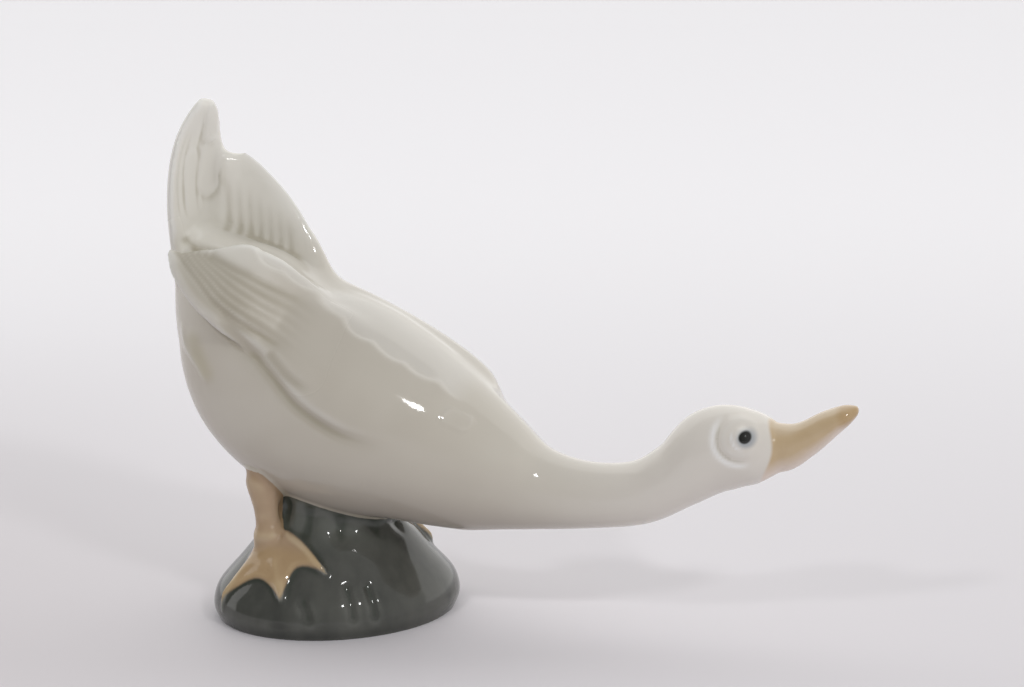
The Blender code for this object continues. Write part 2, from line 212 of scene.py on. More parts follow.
# %% Beak and eyes
BEAK_ROOT_DEPTH, BEAK_LENGTH, BEAK_RISE = 0.0085, 0.0228, 0.0101
BEAK_HALF_WIDTH, BEAK_HEIGHT = 0.0048, 0.0110
EYE_RADIUS = 0.0031
EYE_PLACE = FACE + Vector((-0.40 * HEAD_LENGTH, 0, 0.16 * CROWN_RISE))
EYE_ASIDE = 0.60 * HEAD_HALF_WIDTH

BEAK_SHARES = (
    (0.0, 0.0, 0.94, 0.44, 0.53),
    (0.26, 0.04, 1.0, 0.456, 0.544),
    (0.476, 0.228, 0.92, 0.342, 0.403),
    (0.714, 0.574, 0.83, 0.30, 0.28),
    (0.893, 0.84, 0.69, 0.21, 0.18),
    (1.0, 1.0, 0.17, 0.07, 0.07),
)
beak_root = FACE - Vector((BEAK_ROOT_DEPTH, 0, 0.1 * BEAK_RISE))
beak_rows = []
for forward, rise, width, top, bottom in BEAK_SHARES:
    place = beak_root + Vector((forward * BEAK_LENGTH, 0, rise * BEAK_RISE))
    beak_rows.append((*place, width * BEAK_HALF_WIDTH, top * BEAK_HEIGHT, bottom * BEAK_HEIGHT))
forms["beak"] = bmesh.new()
loft(forms["beak"], beak_rows, ACROSS, 60)
forms["eyes"] = bmesh.new()
for side in (-1, 1):
    ball = bmesh.ops.create_uvsphere(forms["eyes"], u_segments=32, v_segments=24, radius=EYE_RADIUS)
    bmesh.ops.translate(forms["eyes"], verts=ball["verts"], vec=EYE_PLACE + ACROSS * side * EYE_ASIDE)
print("beak tip at x", round(beak_rows[-1][0] * 1000, 1), "mm")

# %% [markdown]
# ## Tail
#
# The raised tail is a fan of feathers, cast as one cupped leaf. A flat loft gives the leaf, and its rings are
# bent so that both edges curl forward. The lines between its feathers are carved later, with all the others.

# %% Tail
TAIL_HEIGHT, TAIL_LENGTH = 0.1185, 0.0450
TAIL_HALF_WIDTH, TAIL_HALF_THICKNESS = 0.0122, 0.0032
TAIL_NOD, TAIL_CUP = 0.0030, 0.0030
TAIL_TWIST = math.radians(14)
TAIL_LEAN = Vector((math.sin(TAIL_TWIST), math.cos(TAIL_TWIST), 0))
TAIL_FOOT = Vector((RUMP_X, 0, TAIL_HEIGHT - TAIL_LENGTH))
TAIL_SHARES = (
    (0.0, 0.0, 0.0, 0.70, 1.0),
    (0.23, -0.33, 0.0, 0.86, 0.78),
    (0.45, -0.6, 0.0, 0.97, 0.66),
    (0.63, -0.5, 0.01, 0.97, 0.59),
    (0.775, -0.13, 0.05, 0.84, 0.53),
    (0.885, 0.4, 0.11, 0.61, 0.46),
    (0.96, 0.83, 0.17, 0.37, 0.38),
    (1.0, 1.0, 0.23, 0.10, 0.16),
)
rows = []
for height, nod, aside, broad, thick in TAIL_SHARES:
    place = TAIL_FOOT + Vector((nod * TAIL_NOD, 0, height * TAIL_LENGTH))
    place += TAIL_LEAN * aside * TAIL_HALF_WIDTH
    rows.append((*place, broad * TAIL_HALF_WIDTH, *(thick * TAIL_HALF_THICKNESS,) * 2))
forms["tail"] = bmesh.new()
loft(forms["tail"], rows, TAIL_LEAN, 60)
for vert in forms["tail"].verts:
    vert.co.x += TAIL_CUP * ((vert.co - TAIL_FOOT).dot(TAIL_LEAN) / TAIL_HALF_WIDTH) ** 2
print("tail leaf", round(2 * TAIL_HALF_WIDTH * 1000, 1), "mm wide at most")

# %% [markdown]
# ## Wings
#
# A folded wing has a smooth shoulder and a fan of long primaries that lie side by side and end in raised
# tips. Here the fan is a blade of slim ribs, so close together that they melt into one, and the lines between
# the primaries are carved into it later. A loop sets the ribs between the fan's lowest and highest line, and
# the same two lines will place the carving. The left wing is held higher than the right one.

# %% Wings
RIBS = 12
RIB_HALF_WIDTH, RIB_HALF_THICKNESS = 0.0029, 0.0020
FAN_SWELL = 0.0020
WING_HALF_BREADTH, WING_HALF_THICKNESS = 0.0115, 0.00425
FEATHER_SHARES = (
    (0.0, 0.45, 0.10),
    (0.2, 0.85, 0.55),
    (0.5, 1.0, 1.0),
    (0.75, 0.97, 0.9),
    (0.92, 0.70, 0.66),
    (1.0, 0.12, 0.16),
)


def feather(bm, root, middle, tip, across, half_width, half_thickness):
    """A slim feather with a rounded tip, curved through three points."""
    rows = []
    for share, broad, thick in FEATHER_SHARES:
        place = root * (1 - share) * (1 - 2 * share) + middle * 4 * share * (1 - share)
        place += tip * share * (2 * share - 1)
        rows.append((*place, broad * half_width, thick * half_thickness, thick * half_thickness))
    loft(bm, rows, across, 32, corners=32)


# The fan's lowest and highest line, each from root over middle to tip, in shares of the body
RIGHT_FAN = (
    ((0.395, 0.702, -0.486), (0.432, 0.213, -0.245)),
    ((0.154, 0.851, -0.254), (0.259, 0.383, -0.090)),
    ((-0.010, 0.617, 0.006), (0.136, 0.468, -0.030)),
)
LEFT_FAN = (
    ((0.395, 0.702, -0.449), (0.395, 0.234, -0.236)),
    ((0.142, 0.809, -0.152), (0.232, 0.417, 0.085)),
    ((-0.006, 0.638, 0.089), (0.074, 0.426, 0.321)),
)


def fan_line(fan, side, share):
    """Root, middle and tip of one line of the fan: share 0 is the lowest, 1 the highest."""
    line = []
    for lowest, highest in fan:
        point = on_body(*lowest).lerp(on_body(*highest), share)
        point.y *= side
        line.append(point)
    swell = side * FAN_SWELL * math.sin(math.pi * share)
    line[0].y += swell
    line[1].y += swell
    return line


def wing(side, fan, shoulder):
    bm = bmesh.new()
    across = Vector((0.35, -side * 0.60, 0.72))
    for rib in range(RIBS):
        feather(bm, *fan_line(fan, side, rib / (RIBS - 1)), across, RIB_HALF_WIDTH, RIB_HALF_THICKNESS)
    rows = []
    for forward, aside, height, broad, thick in shoulder:
        place = on_body(forward, side * aside, height)
        rows.append((*place, broad * WING_HALF_BREADTH, *(thick * WING_HALF_THICKNESS,) * 2))
    loft(bm, rows, across, 70)
    return bm


forms["right_wing"] = wing(
    -1,
    RIGHT_FAN,
    shoulder=(
        (0.840, 0.447, -0.755, 0.13, 0.3),
        (0.765, 0.532, -0.690, 0.52, 0.7),
        (0.630, 0.596, -0.579, 0.83, 0.9),
        (0.469, 0.617, -0.449, 1.0, 0.9),
        (0.309, 0.596, -0.319, 0.91, 0.8),
        (0.185, 0.574, -0.189, 0.61, 0.5),
        (0.099, 0.553, -0.078, 0.35, 0.2),
    ),
)
forms["left_wing"] = wing(
    1,
    LEFT_FAN,
    shoulder=(
        (0.858, 0.553, -0.764, 0.17, 0.3),
        (0.796, 0.617, -0.681, 0.61, 0.9),
        (0.648, 0.638, -0.557, 0.87, 1.0),
        (0.469, 0.630, -0.430, 1.0, 0.9),
        (0.309, 0.617, -0.319, 0.91, 0.8),
        (0.173, 0.596, -0.171, 0.65, 0.5),
        (0.086, 0.574, -0.004, 0.39, 0.2),
    ),
)
print("two wings of", RIBS, "ribs each")

# %% [markdown]
# ## Inner vanes and tail coverts
#
# The left wing's inner face is closed by a row of short upright feathers, from the back up to the wing's
# ridge, so that no dark pocket opens between them. Between each wing's tips and the tail the real goose has
# more short feathers. One broad feather on each side stands for them, and a narrow third one inside the left
# wing fills the gap beside the tail. The carving adds the finer lines.

# %% Inner vanes
INNER_VANES = 14
VANE_HALF_WIDTH, VANE_HALF_THICKNESS, VANE_HOLLOW = 0.0032, 0.0025, 0.0010
VANE_FEET = (on_body(0.085, 0.35, -0.10), on_body(0.375, 0.20, -0.245))
VANE_TOPS = (on_body(0.070, 0.44, 0.305), on_body(0.305, 0.35, -0.030))
forms["vanes"] = bmesh.new()
for vane in range(INNER_VANES):
    share = vane / (INNER_VANES - 1)
    foot, top = VANE_FEET[0].lerp(VANE_FEET[1], share), VANE_TOPS[0].lerp(VANE_TOPS[1], share)
    middle = foot.lerp(top, 0.5) + ACROSS * VANE_HOLLOW
    feather(forms["vanes"], foot, middle, top, Vector((0.9, 0.1, 0.3)), VANE_HALF_WIDTH, VANE_HALF_THICKNESS)

# %% Tail coverts
# Root, middle and tip in shares of the body, the level direction across, half width and half thickness
COVERTS = (
    ((0.185, -0.426, -0.245), (0.080, -0.468, -0.134), (0.025, -0.426, -0.022), (0.6, -0.8), 0.0055, 0.0021),
    ((0.185, 0.426, -0.245), (0.080, 0.468, 0.02), (0.025, 0.426, 0.30), (0.6, 0.8), 0.0055, 0.0021),
    ((0.117, 0.36, -0.02), (0.084, 0.375, 0.165), (0.072, 0.36, 0.335), (0.7, 0.7), 0.0032, 0.0018),
)
forms["coverts"] = bmesh.new()
for *line, across, half_width, half_thickness in COVERTS:
    places = [on_body(*place) for place in line]
    feather(forms["coverts"], *places, Vector((*across, 0)), half_width, half_thickness)

# %% [markdown]
# ## Mound and legs
#
# The mound carries the goose's weight, as a column that reaches into the belly. It is a stack of oval rings.
# The legs are short lofts from the belly to the ankle, and the webbed feet are carved out of the mound's skin
# later, because on the real casting they are only a raised relief.

# %% Mound and legs
MOUND_HALF_LENGTH, MOUND_HALF_WIDTH, MOUND_HEIGHT = 0.02925, 0.02375, 0.030
MOUND_TURN = math.radians(40)
MOUND_AXIS = Vector((math.cos(MOUND_TURN), math.sin(MOUND_TURN), 0))
# Heights in shares of the mound's height, and the girths at them in shares of its half length and width
MOUND_HEIGHTS = (-0.10, 0, 0.05, 0.11, 0.19, 0.26, 0.34, 0.44, 0.55, 0.65, 0.76, 0.90, 1.10)
MOUND_GIRTHS = (0.94, 0.96, 0.985, 1, 0.985, 0.95, 0.88, 0.785, 0.69, 0.60, 0.51, 0.465, 0.46)
mound_rows = []
for height, share in zip(MOUND_HEIGHTS, MOUND_GIRTHS):
    half_width = share * MOUND_HALF_WIDTH
    mound_rows.append((0, 0, height * MOUND_HEIGHT, share * MOUND_HALF_LENGTH, half_width, half_width))
forms["mound"] = bmesh.new()
loft(forms["mound"], mound_rows, MOUND_AXIS, 90, corners=112)

LEG_RADIUS = 0.0032
RIGHT_LEG = (
    (-0.39, -0.50, 0.45, 1.0),
    (-0.403, -0.535, 0.63, 1.25),
    (-0.417, -0.522, 0.73, 0.97),
    (-0.434, -0.505, 0.84, 0.91),
    (-0.451, -0.488, 0.97, 1.09),
    (-0.465, -0.463, 1.10, 1.34),
    (-0.444, -0.421, 1.27, 1.25),
)
LEFT_LEG = (
    (0.26, 0.47, 0.45, 1.0),
    (0.274, 0.497, 0.66, 1.20),
    (0.25, 0.48, 0.78, 0.97),
    (0.22, 0.46, 0.90, 1.0),
    (0.19, 0.44, 1.02, 1.2),
    (0.16, 0.40, 1.20, 1.2),
)
forms["legs"] = bmesh.new()
for leg in (RIGHT_LEG, LEFT_LEG):
    rows = []
    for along, aside, height, girth in leg:
        place = (along * MOUND_HALF_LENGTH, aside * MOUND_HALF_WIDTH, height * MOUND_HEIGHT)
        rows.append((*place, *(girth * LEG_RADIUS,) * 3))
    loft(forms["legs"], rows, ACROSS, 40)

# %% [markdown]
# ## One skin
#
# A casting has no seams, so the forms are joined by a voxel remesh, which keeps only the outer skin, and the
# skin is then relaxed. Plain smoothing would shrink thin edges such as the tail, so each round of it is
# followed by one that pushes back out by a little more: this keeps the volume.

# %% Join the forms
VOXEL = 0.00062
joined = bpy.data.meshes.new("forms")
whole = bmesh.new()
for form in forms.values():
    bmesh.ops.recalc_face_normals(form, faces=form.faces)
    form_mesh = bpy.data.meshes.new("form")
    form.to_mesh(form_mesh)
    whole.from_mesh(form_mesh)
    bpy.data.meshes.remove(form_mesh)
whole.to_mesh(joined)
whole.free()
casting = bpy.data.objects.new("casting", joined)
bpy.context.scene.collection.objects.link(casting)
remesh = casting.modifiers.new("one_skin", "REMESH")
remesh.mode = "VOXEL"
remesh.voxel_size = VOXEL
remesh.use_smooth_shade = True
depsgraph = bpy.context.evaluated_depsgraph_get()
skin = bpy.data.meshes.new_from_object(casting.evaluated_get(depsgraph))
bpy.data.objects.remove(casting)
skin.name = "glazed_goose"
print("one skin of", len(skin.polygons), "faces")


# %% Relax the skin
def read_points(mesh):
    points = np.empty(len(mesh.vertices) * 3, np.float32)
    mesh.vertices.foreach_get("co", points)
    return points.reshape(-1, 3).astype(float)


def write_points(mesh, points):
    mesh.vertices.foreach_set("co", points.reshape(-1).astype(np.float32))
    mesh.update()


def read_normals(mesh):
    normals = np.empty(len(mesh.vertices) * 3, np.float32)
    mesh.vertices.foreach_get("normal", normals)
    return normals.reshape(-1, 3).astype(float)


ends = np.empty(len(skin.edges) * 2, np.int32)
skin.edges.foreach_get("vertices", ends)
ends = ends.reshape(-1, 2)
sources = np.concatenate([ends[:, 0], ends[:, 1]])
targets = np.concatenate([ends[:, 1], ends[:, 0]])
neighbours = np.bincount(targets, minlength=len(skin.vertices)).astype(float)


def neighbour_mean(values):
    """The mean of each vertex's neighbours, for one number or a point at each vertex."""
    if values.ndim == 1:
        return np.bincount(targets, values[sources], len(neighbours)) / neighbours
    return np.stack([neighbour_mean(column) for column in values.T], axis=1)


def relax(points, rounds, pull=0.5, push=0.52):
    for _ in range(rounds):
        points = points + pull * (neighbour_mean(points) - points)
        points = points - push * (neighbour_mean(points) - points)
    return points


RELAX_ROUNDS = 14
points = relax(read_points(skin), RELAX_ROUNDS)

# %% [markdown]
# ## Borders between the forms
#
# The real goose is painted tan on its legs, grey-green on the mound and left white elsewhere, and each border
# follows the join of two forms. So every low point of the skin is asked how much nearer it lies to one form
# than to the other. That number runs smoothly over the skin, so the glaze can cut it as sharply as it likes.

# %% Measure the borders
MM = 0.001
MEASURED_BELOW, PAINTED_BELOW = 0.037, 0.0365


def soft_step(values):
    """0 below 0 and 1 above 1, smooth in between."""
    values = np.clip(values, 0, 1)
    return values * values * (3 - 2 * values)


low_points = np.flatnonzero(points[:, 2] < MEASURED_BELOW)


def far_from(name):
    """How far each low point of the skin lies from one form, in millimetres."""
    tree = BVHTree.FromBMesh(forms[name])
    far = np.full(len(points), 50.0)
    far[low_points] = [tree.find_nearest(points[index])[3] / MM for index in low_points]
    return far


from_goose, from_mound, from_legs = far_from("body"), far_from("mound"), far_from("legs")
low_part = points[:, 2] < PAINTED_BELOW
mound_edge = np.where(low_part, from_goose - from_mound, -5)
leg_edge = np.where(low_part, np.minimum(from_goose, from_mound) - from_legs, -5)
for _ in range(3):
    mound_edge = 0.5 * mound_edge + 0.5 * neighbour_mean(mound_edge)
    leg_edge = 0.5 * leg_edge + 0.5 * neighbour_mean(leg_edge)
print("tan points", int((leg_edge > 0).sum()), "of", len(low_points), "low ones")

# %% [markdown]
# ## Melted joins
#
# Where two forms meet, a casting has a soft fillet, and no leg looks pushed in like a peg. So each join has a
# mask, 1 on it and fading to 0 beside it in so many millimetres, and the skin is smoothed there alone. The
# more rounds a join gets, the wider its fillet grows.

# %% Melt the legs and shoulders
LEG_ROUNDS, SHOULDER_ROUNDS, LEFT_SHOULDER_ROUNDS = 14, 55, 60
RIM_ROUNDS, POCKET_ROUNDS = 34, 45


def melt(points, where, rounds):
    """Plain smoothing, only where the mask says so."""
    for _ in range(rounds):
        points = points + 0.5 * where[:, None] * (neighbour_mean(points) - points)
    return points


near_leg = soft_step((2.6 - from_legs) / 1.5) * soft_step((2.4 - np.abs(leg_edge)) / 1.5)
near_belly = soft_step((2.0 - np.abs(mound_edge)) / 1.5) * (points[:, 2] > 0.018)
shoulders = soft_step((points[:, 0] / MM + 10) / 8) * soft_step((points[:, 2] / MM - 40) / 6)
shoulders *= soft_step((60 - points[:, 0] / MM) / 10)
points = melt(points, np.maximum(near_leg, 0.6 * near_belly), LEG_ROUNDS)
points = melt(points, shoulders, SHOULDER_ROUNDS)
points = melt(points, shoulders * soft_step((points[:, 1] / MM - 1) / 4), LEFT_SHOULDER_ROUNDS)

# %% Melt the right fan's lower rim, the pockets by the tail and four saddles
FAN_RIM = np.array([(-31, 86.5), (-27.5, 81.5), (-20.6, 75.0), (-12.0, 69.5), (-4.0, 65.5)])
rim_steps = np.linspace(0, len(FAN_RIM) - 1, 60)
rim_line = np.stack([np.interp(rim_steps, range(len(FAN_RIM)), column) for column in FAN_RIM.T], axis=1)
from_rim = np.min([np.linalg.norm(points[:, [0, 2]] / MM - place, axis=1) for place in rim_line], axis=0)
right_rim = soft_step((4.5 - from_rim) / 3) * soft_step((-points[:, 1] / MM - 6) / 3)
points = melt(points, right_rim, RIM_ROUNDS)
write_points(skin, points)
facing_right = soft_step((0.1 - read_normals(skin)[:, 1]) / 0.4)
x_mm, y_mm, z_mm = (points / MM).T
inner_face = facing_right * soft_step((y_mm - 2) / 2) * soft_step((z_mm - 80) / 4)
inner_face *= soft_step((-x_mm - 6) / 4)
tail_gap = soft_step((3.4 - np.abs(x_mm + 27.5)) / 2) * soft_step((y_mm + 4) / 3) * soft_step((z_mm - 83) / 3)
points = melt(points, np.maximum(inner_face, tail_gap), POCKET_ROUNDS)

# The centre of each saddle, its reach and its rounds
SADDLES = (
    ((-27, -2, 87.5), 11, 90),
    ((-3.5, 7.5, 79.5), 8, 50),
    ((36.5, 12, 46), 10, 60),
    ((-30, 11, 92), 7, 30),
)
for centre, reach, rounds in SADDLES:
    near = soft_step((reach - np.linalg.norm(points / MM - np.array(centre), axis=1)) / 4)
    points = melt(points, near, rounds)

# The mound's foot reaches below the table, and pressing it up into the solid's box leaves a flat underside
BOX_MARGIN = 1e-5
points = np.clip(points, np.array(low) + BOX_MARGIN, np.array(high) - BOX_MARGIN)
write_points(skin, points)

# %% [markdown]
# ## Carving
#
# The feathers, creases and feet are cut into the relaxed skin by moving its points along their normals, the
# way a modeller works a tool over soft clay. Each mark is a function of the distance from a line, so its
# width and depth are two plain numbers in millimetres.

# %% Carving tools
normals = read_normals(skin)
cut = np.zeros(len(points))
side_view = points[:, [0, 2]] / MM
plan_view = points[:, [0, 1]] / MM
aside = points[:, 1] / MM


def follow(places, line):
    """For each place: its distance from the bent line, the share of the line there, and its side."""
    line = np.array(line, float)
    lengths = np.linalg.norm(np.diff(line, axis=0), axis=1)
    starts = np.concatenate([[0], np.cumsum(lengths)])
    nearest = np.full(len(places), np.inf)
    shares = np.zeros(len(places))
    sides = np.zeros(len(places))
    for start, end, length, begun in zip(line, line[1:], lengths, starts):
        run = (end - start) / length
        offset = places - start
        along = np.clip(offset @ run, 0, length)
        away = offset - along[:, None] * run
        distance = np.linalg.norm(away, axis=1)
        closer = distance < nearest
        turned = run[0] * offset[:, 1] - run[1] * offset[:, 0]
        nearest = np.where(closer, distance, nearest)
        shares = np.where(closer, (begun + along) / starts[-1], shares)
        sides = np.where(closer, np.sign(turned), sides)
    return nearest, shares, sides


def groove(distance, width):
    """1 on the line, fading to 0 beside it as a round tool would cut."""
    return np.exp(-((distance / width) ** 2))


def rounded(line, count=40):
    return np.array(smooth_run(line, count))


def petal(view, line, radius, edge=0.7):
    """1 on a feather drawn as a thick line with round ends, 0 off it, with a soft edge."""
    distance, _, _ = follow(view, line)
    return soft_step((radius - distance) / edge + 0.5)


# %% [markdown]
# The lines between the primaries are read off the wing itself: each lies at an even share of the fan between
# its lowest and highest line. Under the wing run two creases, where the wing lies over the flank, and each is
# a low step: the upper side is raised, the foot of the step is hollow.

# %% Primaries
PRIMARIES = 7


def fan_lines(fan, side):
    for line in range(1, PRIMARIES):
        root, middle, tip = fan_line(fan, side, line / PRIMARIES)
        halfway = root * 0.125 + middle * 0.75 + tip * 0.125
        places = (tip, halfway.lerp(tip, 0.5), halfway, root)
        yield rounded([(place.x / MM, place.z / MM) for place in places], 18)


pool = np.zeros(len(points))
fan_area = np.zeros(len(points))
right_face = soft_step((-aside - 5) / 3)
left_outer = soft_step((aside - 8) / 3) * soft_step((normals[:, 1] - 0.1) / 0.4)
for fan, side, face in ((RIGHT_FAN, -1, right_face), (LEFT_FAN, 1, left_outer)):
    for line in fan_lines(fan, side):
        distance, share, _ = follow(side_view, line)
        mark = face * soft_step((1.02 - share) / 0.55)
        cut -= 0.40 * mark * groove(distance, 0.95)
        pool = np.maximum(pool, mark * groove(distance, 0.80))
        fan_area = np.maximum(fan_area, face * groove(distance, 9.0))
print("two fans of", PRIMARIES, "primaries")

# %% The creases under the right wing
UPPER_CREASE = ((-31.5, 87.5), (-29, 84.3), (-24.6, 79.4), (-20.6, 76.2), (-16, 73), (-11.6, 70.6))
UPPER_CREASE += ((-6.6, 68.2), (0, 65))
LOWER_CREASE = ((-20, 75.6), (-16, 71.2), (-12.2, 67), (-6.8, 61.6), (-1.1, 55.6), (6.8, 50.6))
LOWER_CREASE += ((13, 48.4), (21, 46.6))
BRANCH = ((-8.5, 66.8), (-6, 64), (-2.5, 61), (2.5, 58.4))
for line, lift, width in ((UPPER_CREASE, 0.25, 1.1), (LOWER_CREASE, 0.60, 1.6), (BRANCH, 0.15, 0.9)):
    distance, share, which = follow(side_view, rounded(line))
    fade = soft_step(share / 0.10) * soft_step((1 - share) / 0.35)
    above = distance * which
    cut += right_face * fade * lift * soft_step(above / (2 * width) + 0.5) * np.exp(-np.maximum(above, 0) / 5)
    cut -= right_face * fade * (lift + 0.20) * 0.8 * groove(above + 0.6 * width, width)
    pool = np.maximum(pool, right_face * fade * 0.6 * groove(above + 0.9 * width, 1.1 * width))

# %% [markdown]
# Along the back the right wing's short feathers end in a scalloped edge. It is one more step, whose line
# swings to and fro in even waves. The low ridge behind it, on the left wing's side, is only a soft swell.

# %% The scalloped edge and the back's ridge
TOP_EDGE = ((-24, 86.8), (-16.8, 87.2), (-12.2, 83.7), (-5.4, 79.2), (-0.7, 76), (4.6, 72.6))
TOP_EDGE += ((8.5, 69.6), (14.8, 66), (19.8, 62.8), (28, 58.2), (34.4, 53.5))
SCALLOPS = 8
distance, share, which = follow(side_view, rounded(TOP_EDGE, 60))
above = distance * which + 0.55 * np.abs(np.sin(math.pi * SCALLOPS * share)) - 0.35
fade = soft_step((-aside - 1) / 3) * soft_step(share / 0.12) * soft_step((1 - share) / 0.12)
cut += fade * 0.42 * soft_step(0.5 - above / 0.9) * np.exp(np.minimum(above, 0) / 5)
# Painted light: the back just above the scalloped edge, where it faces up, is kept for a lighter colour
painted_light_above_edge = soft_step((-aside + 4) / 6) * soft_step(share / 0.10) * soft_step((1 - share) / 0.10)
painted_light_above_edge *= soft_step(above / 0.8 + 0.5) * soft_step((14 - above) / 8) * soft_step(normals[:, 2] / 0.3)
# Painted shade: a darker band just below the scalloped edge, fading down over the wing
painted_shade_below_edge = fade * soft_step(0.4 - above / 0.5) * np.exp(np.minimum(above, 0) / 8)
BACK_RIDGE = ((-0.3, 75.8), (4.8, 73.7), (11.7, 71), (16.8, 68), (21.4, 65.2), (26.5, 61.6), (30.1, 58.7))
distance, share, _ = follow(side_view, rounded(BACK_RIDGE))
fade = soft_step((10 - np.abs(aside + 2)) / 4) * soft_step(share / 0.2) * soft_step((1 - share) / 0.2)
cut += fade * soft_step(normals[:, 2] / 0.4) * 0.35 * groove(distance, 1.6)
LEAF = ((31.0, 52.2), (34.5, 50.2))
cut += right_face * 0.22 * petal(side_view, LEAF, 1.5)

# %% Left wing's inner face and the tuft on the rump
left_inner = soft_step((aside - 2) / 3) * soft_step((side_view[:, 1] - 79) / 4)
left_inner *= soft_step((0.2 - normals[:, 1]) / 0.5)
INNER_TOPS = np.array(((-27.5, 101.5), (-13.5, 91.0)))
INNER_FEET = np.array(((-26.6, 80.5), (-10.5, 77.5)))
INNER_LINES = 7
for line in range(INNER_LINES):
    place = line / (INNER_LINES - 1)
    top = INNER_TOPS[0] * (1 - place) + INNER_TOPS[1] * place
    foot = INNER_FEET[0] * (1 - place) + INNER_FEET[1] * place
    distance, share, _ = follow(side_view, (top, foot))
    mark = left_inner * soft_step(share / 0.35) * soft_step((1 - share) / 0.4)
    cut -= 0.22 * mark * groove(distance, 1.00)
    pool = np.maximum(pool, 0.28 * mark * groove(distance, 0.90))
TUFT = ((-28.4, 65.6), (-24.8, 59.4))
TUFT_RIM = ((-32.4, 69.5), (-31.1, 64.3), (-28.6, 62.0), (-26.2, 60.0), (-24.3, 56.8), (-22.3, 55.4))
on_rump = soft_step((-aside - 4) / 4)
tuft = on_rump * petal(side_view, TUFT, 2.0, 3.2)
distance, share, _ = follow(side_view, rounded(TUFT_RIM))
rim_mark = soft_step(share / 0.15) * soft_step((1 - share) / 0.3) * groove(distance, 0.9)
cut += on_rump * (0.25 * tuft + 0.40 * rim_mark)

# %% [markdown]
# The tail's face is cupped, so its feathers are drawn in the tail's own plane: across it and up it. Two broad
# feathers overlap on the left of the tip, and soft long lines run up beside them. Its back gets even lines.

# %% Tail feathers
tail_across = (points - np.array(TAIL_FOOT)) @ np.array(TAIL_LEAN) / MM
tail_view = np.stack([tail_across, points[:, 2] / MM], axis=1)
on_tail = soft_step((points[:, 2] / MM - 90) / 5) * soft_step((-25.5 - points[:, 0] / MM) / 2)
in_front = on_tail * soft_step(normals[:, 0] / 0.4)
behind = on_tail * soft_step(-normals[:, 0] / 0.4)
TAIL_PETALS = (
    (((4.2, 110.2), (3.4, 115.0)), 2.6, 0.34),
    (((5.6, 105.5), (4.4, 98.5)), 3.4, 0.26),
    (((-2.0, 104), (-1.0, 94)), 3.0, 0.20),
)
for line, petal_radius, lift in TAIL_PETALS:
    cut += in_front * lift * petal(tail_view, line, petal_radius, 0.9)
# Where the long lines stand across the tail, the side they are cut into, their depth, upper fade and width
TAIL_LINES = (((-8.0, -5.2, 0.6), in_front, 0.20, 0.25, 0.85), ((-8, -4, 0, 4, 8), behind, 0.30, 0.15, 0.80))
for places, face, depth, top_fade, width in TAIL_LINES:
    for place in places:
        line = ((place * 0.8, 88), (place, 98), (place * 0.85, 107), (place * 0.5 + 1.0, 114))
        distance, share, _ = follow(tail_view, rounded(line, 20))
        fade = soft_step(share / 0.2) * soft_step((1 - share) / top_fade)
        cut -= face * depth * fade * groove(distance, width)
print("feathers carved, deepest cut", round(-cut.min(), 2), "mm")

# %% [markdown]
# The cheek is a low round shield about the eye with a shallow trough round it, deepest at the back and below.
# The trough's outer rim and a crescent close to the pupil, at the back and below, are kept for a painted
# highlight.

# %% Cheeks
EYE_CENTRE, PUPIL_CENTRE = np.array((95.6, 49.9)), np.array((96.8, 50.4))
from_eye = np.linalg.norm(side_view - EYE_CENTRE, axis=1)
cheek_side = soft_step((np.abs(aside) - 2) / 2) * soft_step((101.5 - side_view[:, 0]) / 3)
back_and_below = ((EYE_CENTRE - side_view) @ np.array((0.80, 0.60))) / np.maximum(from_eye, 0.1)
trough = 0.10 + 0.26 * soft_step((back_and_below + 0.1) / 0.9)
cut += cheek_side * (0.35 * soft_step((5.6 - from_eye) / 2.4) - trough * groove(from_eye - 5.0, 1.0))
cut += cheek_side * 0.20 * soft_step((2.6 - from_eye) / 1.2)
from_pupil = np.linalg.norm(side_view - PUPIL_CENTRE, axis=1)
# Painted highlight: pale crescents on the trough's outer rim and beside the pupil
painted_highlight_ring = np.maximum(groove(from_eye - 6.1, 0.60), groove(from_pupil - 2.75, 0.42))
painted_highlight_ring *= cheek_side * soft_step((back_and_below - 0.1) / 0.6)

# %% [markdown]
# ## Feet, column and rim
#
# A foot is a low plate over the mound: a heel, three toes, and skin between them whose free edge hangs in
# hollow arcs. Its outline is walked point by point in plan, and the distance from that outline both raises the
# plate and, later, tells the glaze where the tan colour starts.


# %% Webbed feet
def hollow_arc(first, second, heel, depth=0.26, count=9):
    """The free edge of the skin between two toe tips, drawn in towards the heel."""
    arc = []
    for step in range(1, count):
        share = step / count
        straight = np.array(first) * (1 - share) + np.array(second) * share
        arc.append(tuple(straight + (np.array(heel) - straight) * depth * math.sin(math.pi * share) ** 0.8))
    return arc


def foot_outline(heel, half_heel, toes):
    """The plan of a foot: round the heel and out over the three toes."""
    line = [tuple(np.array(heel) + half_heel), toes[0]]
    for first, second in zip(toes, toes[1:]):
        line += hollow_arc(first, second, heel) + [second]
    line += [tuple(np.array(heel) - half_heel), tuple(np.array(heel) + half_heel)]
    return line


def inside_distance(places, outline):
    """The distance from an outline, more than 0 inside it."""
    distance, _, _ = follow(places, outline)
    inside = np.zeros(len(places), bool)
    for (x1, y1), (x2, y2) in zip(outline, outline[1:]):
        crosses = (places[:, 1] < y1) != (places[:, 1] < y2)
        slope = (x2 - x1) / (y2 - y1 if y2 != y1 else 1e-9)
        inside ^= crosses & (places[:, 0] < x1 + slope * (places[:, 1] - y1))
    return np.where(inside, distance, -distance)


